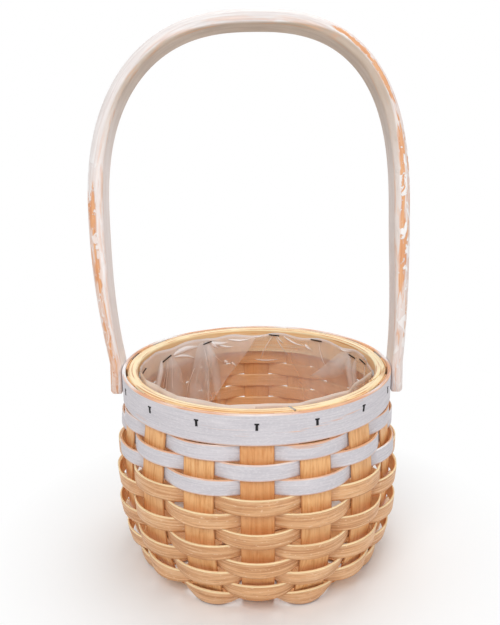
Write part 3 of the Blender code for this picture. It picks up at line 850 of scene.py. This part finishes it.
def paler_inside_painted_light(colour, share):
    """Inner faces of the basket made paler: painted light for the light that falls inside it."""
    # Painted light: inner faces, with negative depth, are lifted towards a pale orange
    inside = grain_part(colour.tree, "Z").remap(-0.0004, -0.0001, share, 0.0)
    return inside.between(colour, (1.0, 0.575, 0.27))


def splint_material():
    """Tan chip wood of the lower weavers."""
    material, tree, _ = new_material("tan_splint", 0.46)
    colour, fine = splint_colour(tree)
    return finished(material, colour, fine, 0.6)


def stave_material():
    """Orange-tan chip wood with wavy grain along the stave, deeper on the front stave's strip."""
    material, tree, _ = new_material("orange_stave", 0.46)
    waves = grain_noise(tree, 26.0, 150.0, detail=4.0, distortion=2.6)
    fine = grain_noise(tree, 40.0, 1100.0, offset=5.0)
    blush = grain_noise(tree, 14.0, 30.0, detail=2.0, offset=8.0)
    colour = waves.remap(0.32, 0.56).between((0.70, 0.31, 0.095), (0.90, 0.50, 0.21))
    colour = blush.remap(0.46, 0.64, 0.0, 0.6).between(colour, (0.90, 0.53, 0.25))
    colour = fine.remap(0.50, 0.68, 0.0, 0.4).between(colour, (0.92, 0.60, 0.30))
    colour = fine.remap(0.34, 0.44, 0.30, 0.0).between(colour, (0.54, 0.19, 0.045))
    colour = (abs(edge_mark(tree)) * 0.6).between(colour, (0.48, 0.16, 0.04))
    deep = grain_part(tree, "Y").remap(STAVE_WIDTH, 2.0 * STAVE_WIDTH, 0.45, 0.0)
    colour = deep.between(colour, (0.66, 0.25, 0.075))
    return finished(material, paler_inside_painted_light(colour, 0.3), fine, 0.6)


def hoop_material():
    """Pale yellow bent wood with orange lines round the hoop and painted shade on its upright faces.
    """
    material, tree, _ = new_material("pale_hoop", 0.4)
    lines = grain_noise(tree, 12.0, 520.0, detail=4.0)
    broad = grain_noise(tree, 7.0, 140.0, detail=2.0, offset=2.0)
    streaks = grain_noise(tree, 22.0, 700.0, offset=6.0)
    broken = grain_noise(tree, 30.0, 60.0, offset=15.0)
    colour = broad.remap(0.3, 0.7).between((1.0, 0.76, 0.43), (1.0, 0.88, 0.60))
    colour = lines.remap(0.34, 0.46, 0.5, 0.0).between(colour, (0.90, 0.50, 0.17))
    colour = streaks.remap(0.30, 0.38, 0.75, 0.0).between(colour, (0.62, 0.21, 0.03))
    for ring_radius in HOOP_LINE_RADII:
        line = grain_part(tree, "Z").away(ring_radius).remap(0.0002, 0.0006, 0.8, 0.0)
        line = line * broken.remap(0.42, 0.54) * abs(edge_mark(tree))
        colour = line.between(colour, (0.60, 0.19, 0.03))
    # Painted shade: the upright inner and outer faces are darker orange than the top
    faces = abs(edge_mark(tree)).remap(0.0, 1.0, 0.4, 0.0)
    colour = faces.between(colour, (0.80, 0.38, 0.13))
    return finished(material, colour, lines, 0.5)


def wood_under_paint(tree):
    """The orange wood that shows where the whitewash is thin."""
    fine = grain_noise(tree, 45.0, 1100.0, offset=9.0)
    return fine.remap(0.3, 0.7).between((0.66, 0.22, 0.07), (0.88, 0.46, 0.20))


def whitewash_material():
    """Thin whitewash on the outer face of a splint, worn at its edges; the inner face is bare."""
    material, tree, _ = new_material("whitewash", 0.6)
    fine = grain_noise(tree, 34.0, 900.0, detail=5.0)
    mottle = grain_noise(tree, 420.0, 900.0, offset=12.0)
    broad = grain_noise(tree, 14.0, 110.0, offset=4.0)
    shade = grain_noise(tree, 24.0, 150.0, detail=4.0, distortion=0.7, offset=17.0)
    paint = fine.remap(0.34, 0.62).between((0.60, 0.575, 0.61), (0.71, 0.675, 0.705))
    paint = shade.remap(0.38, 0.62, 0.3, 0.0).between(paint, (0.54, 0.515, 0.55))
    paint = mottle.remap(0.50, 0.70, 0.0, 0.45).between(paint, (0.82, 0.79, 0.81))
    # Painted highlight: the upper raw edge is whiter, as where light falls on it
    paint = (raw_edge(tree, 1.0) * 0.9).between(paint, (0.95, 0.93, 0.93))
    streak = (fine + broad.remap(0.60, 0.74, 0.0, 0.42)).remap(0.74, 0.92, 0.0, 0.6)
    worn = raw_edge(tree, 1.0) * broad.remap(0.40, 0.56) * 0.85
    worn = worn.larger(raw_edge(tree, -1.0) * 0.45)
    colour = streak.larger(worn).between(paint, wood_under_paint(tree))
    natural, _ = splint_colour(tree)
    colour = grain_part(tree, "Z").remap(-0.0004, 0.0002).between(natural, colour)
    return finished(material, colour, fine, 0.5)


def level_along(place, levels):
    """A level that changes along a 0 to 1 place, from (place, level) stops."""
    ramp = signal(place.tree, "ValToRGB", "Color", {"Fac": place})
    stops = ramp.socket.node.color_ramp.elements
    stops[0].position, stops[1].position = levels[0][0], levels[-1][0]
    for stop, _ in levels[1:-1]:
        stops.new(stop)
    for element, (_, level) in zip(stops, levels):
        element.color = (level, level, level, 1.0)
    return ramp


def crown_wear(along, depth, past_crown):
    """Shares of bare wood and of thick white paint over the handle's rounded outer face."""
    tree = along.tree
    front = grain_part(tree, "Y").remap(-0.002, 0.0, 1.0, 0.0)
    streak_level = level_along(along, STREAK_LEVELS) * front
    wander = grain_noise(tree, 210.0, 420.0, detail=5.0, offset=41.0) - 0.5
    ragged = depth + wander * STREAK_RAGGEDNESS
    streak = ragged.away(WEAR_STREAK_DEPTH).remap(0.0008, 0.0020, 1.0, 0.0) * streak_level
    white_smear = ragged.away(WHITE_SMEAR_DEPTH).remap(0.0003, 0.0009, 1.8, 0.0) * streak_level
    rim_wear = abs(past_crown + CROWN_RIM_INSET).remap(0.0006, 0.0026, 1.0, 0.0)
    rim_wear = rim_wear * level_along(along, RIM_LEVELS)
    blobs = grain_noise(tree, 95.0, 170.0, detail=4.0, distortion=0.9, offset=51.0)
    blobs = blobs.remap(0.54, 0.58) * level_along(along, BLOB_LEVELS)
    smears = grain_noise(tree, 34.0, 330.0, detail=6.0, distortion=0.8, offset=3.0)
    blots = grain_noise(tree, 22.0, 90.0, offset=14.0)
    rubbed = smears + level_along(along, BARE_LEVELS) + blots * 0.3 + streak + rim_wear
    bare = rubbed.remap(0.92, 1.02, 0.0, 0.9) * blobs.remap(0.0, 1.0, 1.0, 0.0)
    return bare, smears, blobs, white_smear.larger(blobs)


def handle_material(length):
    """Whitewash rubbed through to peach and orange wood, most on the left leg and at the right."""
    material, tree, _ = new_material("handle_whitewash", 0.52)
    along = grain_part(tree, "X").remap(0.0, length)
    depth = grain_part(tree, "Z")
    past_crown = depth - level_along(along, CROWN_SHARES) * HANDLE_LEG_THICKNESS
    crown = past_crown.remap(CROWN_EDGE_BLUR, -CROWN_EDGE_BLUR)
    bare, smears, blobs, thick = crown_wear(along, depth, past_crown)
    flecks = grain_noise(tree, 190.0, 520.0, offset=21.0).remap(0.62, 0.67)
    bare = bare * crown * flecks.remap(0.0, 1.0, 1.0, 0.1)
    fine = grain_noise(tree, 40.0, 900.0, detail=4.0)
    paint = fine.remap(0.3, 0.7).between((0.74, 0.68, 0.665), (0.90, 0.87, 0.86))
    peach = fine.remap(0.35, 0.65).between((0.78, 0.46, 0.32), (0.88, 0.62, 0.49))
    thin = level_along(along, THIN_LEVELS) * crown * flecks.remap(0.0, 1.0, 1.0, 0.0)
    crown_paint = thick.between(thin.between(paint, peach), (0.95, 0.93, 0.92))
    tint = grain_noise(tree, 30.0, 130.0, detail=4.0, offset=31.0).remap(0.3, 0.7)
    light_flat = tint.between((0.88, 0.79, 0.755), (0.96, 0.90, 0.88))
    # Painted shade, with a browner tint: the flat faces darken towards this colour, most under the
    # arch
    painted_shade_flat = tint.between((0.42, 0.31, 0.225), (0.55, 0.43, 0.33))
    flat_paint_and_shade = level_along(along, PAINTED_SHADE_LEVELS).between(light_flat, painted_shade_flat)
    colour = crown.between(flat_paint_and_shade, crown_paint)
    colour = bare.between(colour, wood_under_paint(tree))
    rim = abs(edge_mark(tree)) * smears.remap(0.48, 0.62, 0.0, 0.4)
    colour = rim.between(colour, wood_under_paint(tree))
    return finished(material, colour, fine + smears * 1.5 + blobs - bare, 0.5, 0.0006)


def steel_material(name, colour, roughness):
    """Bare or blackened steel wire and screws."""
    material, tree, sockets = new_material(name, roughness)
    sockets["Metallic"].default_value = 1.0
    sockets["Base Color"].default_value = (*colour, 1.0)
    place = signal(tree, "TexCoord", "Object")
    noise = signal(tree, "TexNoise", "Fac", {"Vector": place, "Scale": 900.0, "Detail": 2.0})
    rough = noise.remap(0.3, 0.7, roughness - 0.08, roughness + 0.1)
    tree.links.new(rough.socket, sockets["Roughness"])
    return material


def film_material():
    """Clear film, hazy near its top and at the right, where the haze is partly painted reflection;
    the edge attribute is its folds' haze and painted highlights, and its top edge's highlight.
    """
    material, tree, sockets = new_material("clear_film", 0.2)
    place = grain_part(tree, "X")
    height = grain_part(tree, "Y")
    past = place - (height * -SHEET_EDGE_SLOPE + SHEET_EDGE_PLACE)
    # Haze of the upper layer beyond its free edge, partly painted reflection of the lamps
    sheet = past.remap(0.0, 0.0006, 0.0, 0.30)
    line = abs(past).remap(0.0003, 0.0012, 0.35, 0.0)
    clouds = grain_noise(tree, 22.0, 16.0, detail=2.0, distortion=0.8, offset=2.0)
    # Haze at the top and at the right, partly painted reflection of the lamps
    top_haze_and_reflection = height.remap(RIM_HEIGHT - 1.3 * BAND_HEIGHT, RIM_HEIGHT, 0.0, 0.24)
    right_haze_and_reflection = place.away(RIGHT_HAZE_AND_REFLECTION_PLACE).remap(0.01, 0.09, 0.30, 0.0)
    top = RIM_HEIGHT - FILM_TOP_DROP
    # Haze and painted highlight along the film's top edge, widest where it stands up in front
    front_haze_and_highlight = height.remap(top - 1.5 * FILM_TOP_DROP, top, 0.0, 0.5)
    cover = clouds.remap(0.42, 0.66, 0.02, 0.16) + sheet + top_haze_and_reflection.larger(right_haze_and_reflection)
    cover = (cover * height.remap(0.06, 0.115, 0.2, 1.0) + front_haze_and_highlight).larger(line)
    # Fold marks: haze on the broad folds, painted highlights on the creases
    fold_haze_and_highlights = edge_mark(tree)
    tree.links.new((cover + fold_haze_and_highlights).remap(0.0, 1.0).socket, sockets["Alpha"])
    # Painted highlight: the film turns whiter where the fold marks are strong
    fold_highlight_colour = fold_haze_and_highlights.between((1.0, 0.955, 0.94), (1.0, 1.0, 1.0))
    tree.links.new(fold_highlight_colour.socket, sockets["Base Color"])
    return material


# Film and staples

def film_radius(azimuth, height):
    """Radius of the film: straight from staple to staple at the top, along the wall below."""
    radii, heights = zip(*FILM_PROFILE)
    base = float(np.interp(height, heights, radii))
    turns = [math.radians(degrees) for degrees, _, _ in FILM_STAPLES]
    spot = azimuth % FULL_TURN
    after = next((turn for turn in turns if turn >= spot), turns[0] + FULL_TURN)
    before = max((turn for turn in turns if turn <= spot), default=turns[-1] - FULL_TURN)
    half = max((after - before) / 2.0, 0.01)
    chord = math.cos(half) / math.cos(spot - (after + before) / 2.0)
    pull = ease(height, FILM_PULL_LOW, FILM_PULL_TOP)
    stand = FILM_FRONT_STAND * ease(math.cos(azimuth), 0.0, 0.6) * pull
    pull *= 1.0 - FILM_LEFT_SLACK * ease(-math.sin(azimuth), 0.75, 0.97)
    crumple = FILM_CRUMPLE * math.sin(CRUMPLE_FINE * azimuth + CRUMPLE_CLIMB * height)
    crumple *= math.sin(CRUMPLE_BROAD * azimuth)
    return base * (1.0 + (chord - 1.0) * pull) - FILM_GAP - stand + crumple


def film_front(azimuth):
    """How far the film stands up and away from the hoop: 1 at the front, 0 at the back."""
    return ease(math.cos(azimuth), -0.35, 0.1)


def film_sheet(floor_height, around=300, down=70):
    """Places, faces, grains and the painted highlight along the top of the film itself."""
    places, grains = [], []
    azimuths = [FULL_TURN * i / around for i in range(around)]
    for j in range(down):
        for azimuth in azimuths:
            front = film_front(azimuth)
            top = RIM_HEIGHT - FILM_TOP_DROP + (FILM_TOP_DROP - FILM_FRONT_DROP) * front
            height = top + (floor_height - top) * j / (down - 1)
            sag = FILM_SAG * math.sin(SAG_WAVES * azimuth) ** 2 * (1.0 - j / down)
            sag *= 1.0 - front
            places.append(at_azimuth(azimuth, film_radius(azimuth, height), height - sag))
            grains.append((azimuth * BAND_RADIUS, height, 0.0))
    for azimuth in azimuths:
        places.append(at_azimuth(azimuth, FLAT_RADIUS / 2.0, floor_height))
        grains.append((azimuth * BAND_RADIUS, floor_height, 0.0))
    faces = faces_between(0, down + 1, around)
    faces.append(tuple(down * around + i for i in range(around)))
    # The top row carries the painted highlight along the film's top edge
    edges = [FILM_RIM_HIGHLIGHT] * around + [0.0] * (len(places) - around)
    return places, faces, grains, edges


def add_fold(fold, places, faces, grains, edges, steps=26, columns=9):
    """Add one crease to the film: a low ridge that thins out at both ends."""
    azimuth_0, height_0, azimuth_1, height_1, width, haze_and_highlight = fold
    faces += faces_between(len(places), steps + 1, columns, closed=False)
    start = Vector((math.radians(azimuth_0) * BAND_RADIUS, height_0))
    run = Vector((math.radians(azimuth_1) * BAND_RADIUS, height_1)) - start
    side = Vector((-run.y, run.x)).normalized()
    for i in range(steps + 1):
        t = i / steps
        taper = math.sin(math.pi * min(t**0.7 + 0.03, 1.0)) ** 0.8
        bend = FOLD_BEND * run.length * math.sin(math.pi * t)
        bend *= 1.0 if haze_and_highlight > CREASE_HIGHLIGHT else -1.0
        for j in range(columns):
            share = 2.0 * j / (columns - 1) - 1.0
            spot = start + run * t + side * (bend + share * width * taper / 2.0)
            azimuth = spot.x / BAND_RADIUS
            ridge = (1.0 - share**2) * min(width * FOLD_RIDGE_SHARE, FOLD_RIDGE) * taper
            radius = film_radius(azimuth, spot.y) - FOLD_GAP - ridge
            places.append(at_azimuth(azimuth, radius, spot.y))
            grains.append((azimuth * BAND_RADIUS, spot.y, 0.0))
            # The edge attribute carries the fold's haze and, on creases, its painted highlight
            edges.append(haze_and_highlight * (1.0 - share**2) ** 1.4 * taper)


def make_liner(material):
    """The film, stapled to the hoop, with the creases that run from its staples."""
    low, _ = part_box("liner")
    sheet = film_sheet(low.z + FILM_FLOOR_RISE)
    for fold in FILM_FOLDS:
        add_fold(fold, *sheet)
    piece = finish_mesh("film_liner", *sheet, material, math.pi)
    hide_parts("liner")
    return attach(piece, "basket")


def bar(middle, half, outward, width, thickness):
    """Closed loops of a short rounded bar through a point; outward is across its face."""
    along = half.normalized()
    side = along.cross(outward).normalized()
    face = side.cross(along).normalized()
    section = rounded_section(width, thickness, thickness * BAR_CORNER_SHARE, corner_steps=2)
    loops = []
    for place in (middle - half, middle + half):
        spots = [place + side * across + face * depth for across, depth, _ in section]
        loops.append([(spot, spot, edge) for spot, (_, _, edge) in zip(spots, section)])
    return loops


def make_staples(name, bars, material):
    """One piece of steel wire bars that rides on the basket."""
    piece = skin(name, bars, material)
    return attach(piece, "basket")


def make_rim_staples(material):
    """Blackened staples that clench the band to the hoop, one at each free stave."""
    bars = []
    for stave in range(2 * STRIP_COUNT):
        if stave in (STRIP_COUNT // 2, 3 * STRIP_COUNT // 2):
            continue
        azimuth = stave * STAVE_ANGLE
        outward, side = directions(azimuth)
        lean = random.Random(RIM_STAPLE_SEED + stave).uniform(-RIM_STAPLE_LEAN, RIM_STAPLE_LEAN)
        middle = at_azimuth(azimuth, BAND_RADIUS, RIM_HEIGHT - RIM_STAPLE_DROP)
        half = Vector((0.0, 0.0, RIM_STAPLE_HEIGHT / 2.0)) + side * lean
        bars.append(bar(middle, half, outward, RIM_STAPLE_WIDTH, RIM_STAPLE_THICKNESS))
        # Painted shade: a blackened bar across the staple's top stands for the shade in its dent
        dent_shade = side * (RIM_DENT_SHADE_WIDTH / 2.0)
        bars.append(bar(middle + half, dent_shade, outward, RIM_DENT_SHADE_HEIGHT, RIM_DENT_SHADE_THICKNESS))
    return make_staples("rim_staples", bars, material)


def make_film_staples(material):
    """Wide staples along the film's edge."""
    bars = []
    for degrees, height, tilt in FILM_STAPLES:
        azimuth = math.radians(degrees)
        outward, side = directions(azimuth)
        middle = at_azimuth(azimuth, film_radius(azimuth, height) - FILM_STAPLE_STAND, height)
        half = side * (FILM_STAPLE_LENGTH / 2.0)
        half.z = FILM_STAPLE_LENGTH / 2.0 * tilt
        bars.append(bar(middle, half, outward, FILM_STAPLE_WIDTH, FILM_STAPLE_THICKNESS))
    return make_staples("film_staples", bars, material)


def make_hoop_staple(material):
    """The bare staple across the top of the hoop."""
    azimuth, slant, radius = HOOP_STAPLE_AZIMUTH, HOOP_STAPLE_SLANT, HOOP_INNER_RADIUS
    inner = at_azimuth(azimuth - slant, radius + HOOP_STAPLE_START, RIM_HEIGHT)
    outer = at_azimuth(azimuth + slant, radius + HOOP_STAPLE_END, RIM_HEIGHT)
    middle, half = (inner + outer) / 2.0, (outer - inner) / 2.0
    up = Vector((0.0, 0.0, 1.0))
    bars = [bar(middle, half, up, HOOP_STAPLE_WIDTH, HOOP_STAPLE_THICKNESS)]
    return make_staples("hoop_staple", bars, material)


# Scene

def make_camera():
    """Camera at the photograph's place and angle."""
    data = bpy.data.cameras.new("camera")
    data.sensor_width = SENSOR
    data.lens = FOCAL_PX * SENSOR / PHOTO_HEIGHT_PX
    data.clip_start = CLIP_START
    camera = new_object("camera", data)
    turn = (
        Matrix.Rotation(-CAMERA_YAW, 4, "Z")
        @ Matrix.Rotation(math.pi / 2.0 - CAMERA_PITCH, 4, "X")
        @ Matrix.Rotation(-CAMERA_ROLL, 4, "Z")
    )
    place = Vector((0.0, -CAMERA_DISTANCE, RIM_HEIGHT + CAMERA_RISE))
    camera.matrix_world = Matrix.Translation(place) @ turn
    bpy.context.scene.camera = camera


def make_lamp(name, place, size, power):
    """A soft square lamp aimed at the middle of the part."""
    data = bpy.data.lights.new(name, "AREA")
    data.size = size
    data.energy = power
    lamp = new_object(name, data)
    lamp.location = place
    lamp.rotation_mode = "QUATERNION"
    aim = Vector(LAMP_TARGET) - Vector(place)
    lamp.rotation_quaternion = aim.to_track_quat("-Z", "Y")


def plain_sight(tree):
    """1 for rays that see the backdrop directly, in a mirror or through the film."""
    kinds = ("Is Camera Ray", "Is Glossy Ray", "Is Transmission Ray")
    camera, glossy, transmission = (signal(tree, "LightPath", kind) for kind in kinds)
    return camera.larger(glossy).larger(transmission)


def make_floor():
    """Pale floor with the part's shadow, which turns white further out."""
    mesh = bpy.data.meshes.new("floor")
    corners = [(x * FLOOR_REACH, y * FLOOR_REACH, 0.0) for x, y in product((-1, 1), (-1, 1))]
    mesh.from_pydata(corners, [], [(0, 2, 3, 1)])
    floor = new_object("floor", mesh)
    floor.location.z = -FLOOR_DROP
    material, tree, sockets = new_material("pale_floor", 0.9)
    sockets["Base Color"].default_value = (FLOOR_GREY, FLOOR_GREY, FLOOR_GREY, 1.0)
    place = signal(tree, "TexCoord", "Object")
    distance = signal(tree, "VectorMath", "Value", {0: place}, operation="LENGTH")
    share = plain_sight(tree) * distance.remap(FLOOR_FADE_START, FLOOR_FADE_END)
    matt = Signal(tree, tree.nodes["Principled BSDF"].outputs[0])
    glow = signal(tree, "Emission", 0, {"Color": WHITE, "Strength": 1.0})
    mixed = signal(tree, "MixShader", 0, {0: share, 1: matt, 2: glow})
    tree.links.new(mixed.socket, tree.nodes["Material Output"].inputs["Surface"])
    mesh.materials.append(material)


def make_world():
    """White world that lights the part less than it shows."""
    world = bpy.data.worlds.new("studio")
    bpy.context.scene.world = world
    world.use_nodes = True
    tree = world.node_tree
    background = tree.nodes["Background"]
    background.inputs["Color"].default_value = WHITE
    background.inputs["Strength"].default_value = WORLD_STRENGTH
    dim = Signal(tree, background.outputs[0])
    white = signal(tree, "Background", 0, {"Color": WHITE, "Strength": 1.0})
    both = signal(tree, "MixShader", 0, {0: plain_sight(tree), 1: dim, 2: white})
    tree.links.new(both.socket, tree.nodes["World Output"].inputs["Surface"])


def main():
    """Place the camera, build every piece, and set up the floor, world and lamps."""
    make_camera()
    splint = splint_material()
    white = whitewash_material()
    stave = stave_material()
    for strip in range(STRIP_COUNT):
        make_strip(strip, stave)
    for row in range(ROW_COUNT):
        if row < WHITE_ROWS:
            make_weaver(row, white)
        else:
            make_weaver(row, splint)
    make_hoop(
        "band", "rim_band", BAND_RADIUS - BAND_THICKNESS, BAND_RADIUS, BAND_HEIGHT,
        BAND_EDGE, BAND_LAP_LENGTH, BAND_LAP_AZIMUTH, white,
    )
    make_hoop(
        "hoop", "inner_hoop", HOOP_INNER_RADIUS, HOOP_OUTER_RADIUS, HOOP_HEIGHT,
        HOOP_EDGE, HOOP_LAP_LENGTH, HOOP_LAP_AZIMUTH, hoop_material(),
    )
    make_handle()
    steel = steel_material("zinc_steel", (0.55, 0.55, 0.56), 0.35)
    black = steel_material("blackened_steel", (0.035, 0.033, 0.035), 0.45)
    make_rim_staples(black)
    make_film_staples(black)
    make_hoop_staple(steel)
    for side in ("left", "right"):
        for place in frame["nodes"][f"pivot_screw_{side}"].material_slots:
            place.material = steel
    make_liner(film_material())
    make_floor()
    make_world()
    for lamp in LAMPS:
        make_lamp(*lamp)


main()
view = bpy.context.scene.view_settings
view.view_transform = "Standard"
